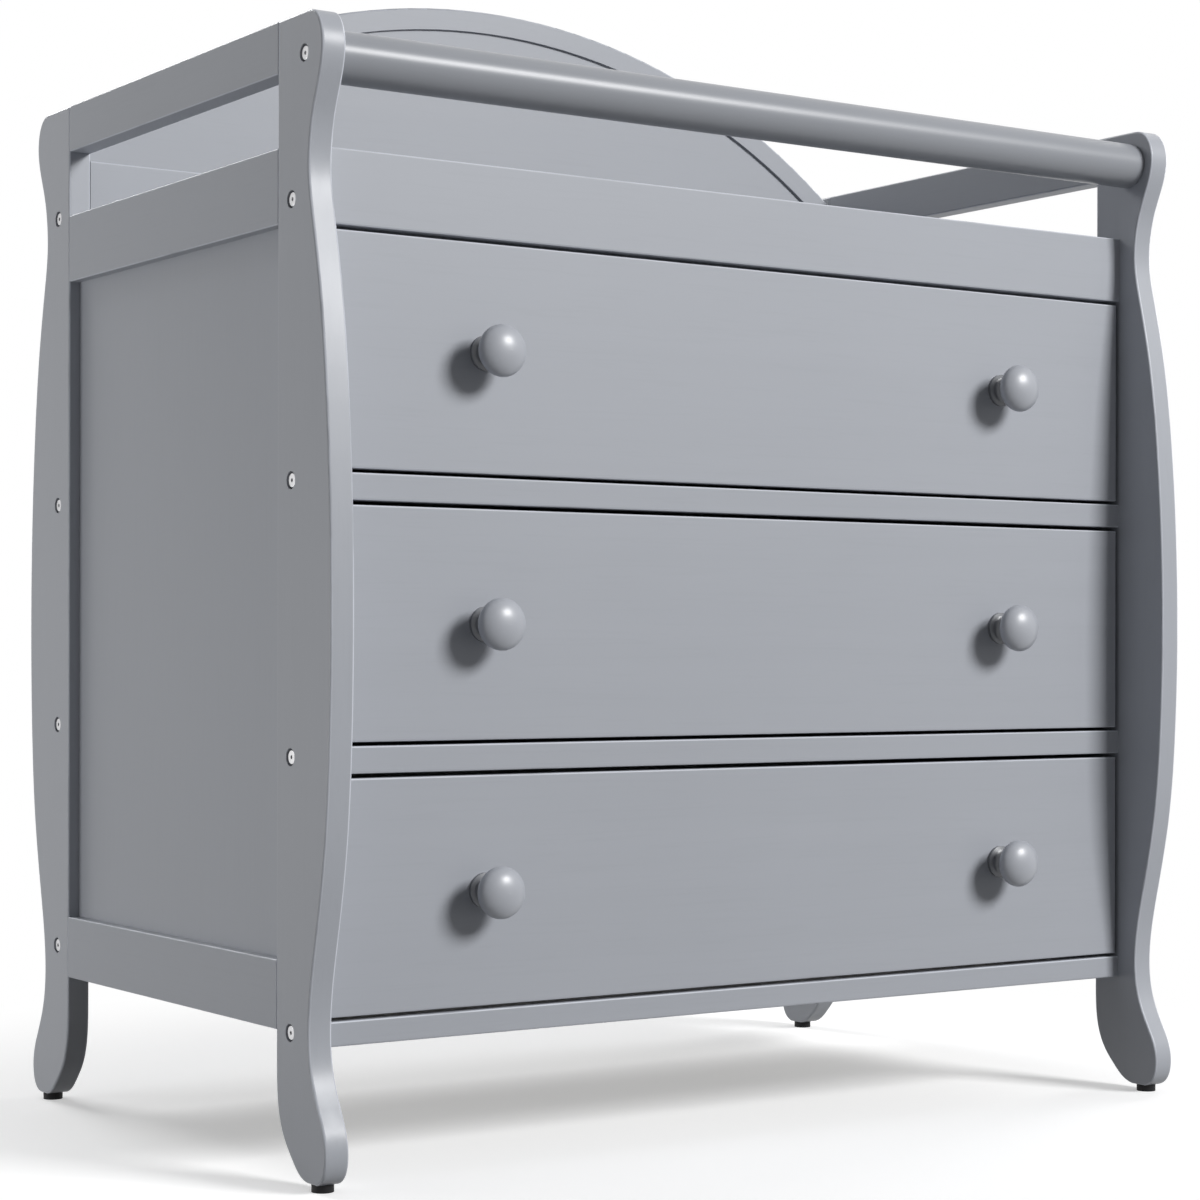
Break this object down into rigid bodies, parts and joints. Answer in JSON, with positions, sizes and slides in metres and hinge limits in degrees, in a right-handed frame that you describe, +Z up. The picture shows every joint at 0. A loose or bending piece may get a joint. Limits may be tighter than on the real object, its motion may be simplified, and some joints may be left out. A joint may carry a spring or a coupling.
{
  "type": "changing dresser",
  "caption": "Baby changing dresser with S-curved post legs, framed recessed side panels, a raised tray top with a round front bar, an arched back board and knobbed drawers on slides.",
  "frame": {"origin": "on the floor, under the middle of the dresser", "axes": "+X to the right as seen from the front, +Y to the back, +Z up"},
  "size_m": [0.872, 0.566, 1.0159],
  "materials": {
    "grey_paint": "satin paint",
    "knob_paint": "gloss paint",
    "drawer_board": "pale laminate",
    "back_sheet": "matt painted sheet",
    "beech": "raw",
    "slide_white": "satin",
    "zinc": "zinc plated",
    "glide_black": "matt"
  },
  "bodies": {
    "case": {"apron": "grey_paint", "back_panel": "back_sheet", "back_rail_bottom": "grey_paint", "back_rail_lower": "grey_paint", "back_rail_top": "grey_paint", "back_rail_upper": "grey_paint", "barrel_nuts": "zinc", "bottom_rail_front": "grey_paint", "case_runners_bottom": "slide_white", "case_runners_middle": "slide_white", "case_runners_top": "slide_white", "divider_rail_lower": "grey_paint", "divider_rail_upper": "grey_paint", "foot_glides": "glide_black", "frame_bolts": "zinc", "frame_dowels": "beech", "hand_bar": "grey_paint", "headboard": "grey_paint", "post_back_left": "grey_paint", "post_back_right": "grey_paint", "post_front_left": "grey_paint", "post_front_right": "grey_paint", "side_panel_left": "grey_paint", "side_panel_right": "grey_paint", "side_rail_bottom_left": "grey_paint", "side_rail_bottom_right": "grey_paint", "side_rail_middle_left": "grey_paint", "side_rail_middle_right": "grey_paint", "side_rail_top_left": "grey_paint", "side_rail_top_right": "grey_paint", "tray_cleats": "grey_paint", "tray_floor": "grey_paint"},
    "drawer_top": {"drawer_top_back": "drawer_board", "drawer_top_bottom": "drawer_board", "drawer_top_front": "grey_paint", "drawer_top_knob_screws": "zinc", "drawer_top_knobs": "knob_paint", "drawer_top_runners": "slide_white", "drawer_top_side_left": "drawer_board", "drawer_top_side_right": "drawer_board"},
    "drawer_middle": {"drawer_middle_back": "drawer_board", "drawer_middle_bottom": "drawer_board", "drawer_middle_front": "grey_paint", "drawer_middle_knob_screws": "zinc", "drawer_middle_knobs": "knob_paint", "drawer_middle_runners": "slide_white", "drawer_middle_side_left": "drawer_board", "drawer_middle_side_right": "drawer_board"},
    "drawer_bottom": {"drawer_bottom_back": "drawer_board", "drawer_bottom_bottom": "drawer_board", "drawer_bottom_front": "grey_paint", "drawer_bottom_knob_screws": "zinc", "drawer_bottom_knobs": "knob_paint", "drawer_bottom_runners": "slide_white", "drawer_bottom_side_left": "drawer_board", "drawer_bottom_side_right": "drawer_board"}
  },
  "joints": [
    {"name": "drawer_top_slide", "type": "slide", "parent": "case", "child": "drawer_top", "axis": [0, -1, 0], "range_m": [0, 0.26]},
    {"name": "drawer_middle_slide", "type": "slide", "parent": "case", "child": "drawer_middle", "axis": [0, -1, 0], "range_m": [0, 0.26]},
    {"name": "drawer_bottom_slide", "type": "slide", "parent": "case", "child": "drawer_bottom", "axis": [0, -1, 0], "range_m": [0, 0.26]}
  ]
}
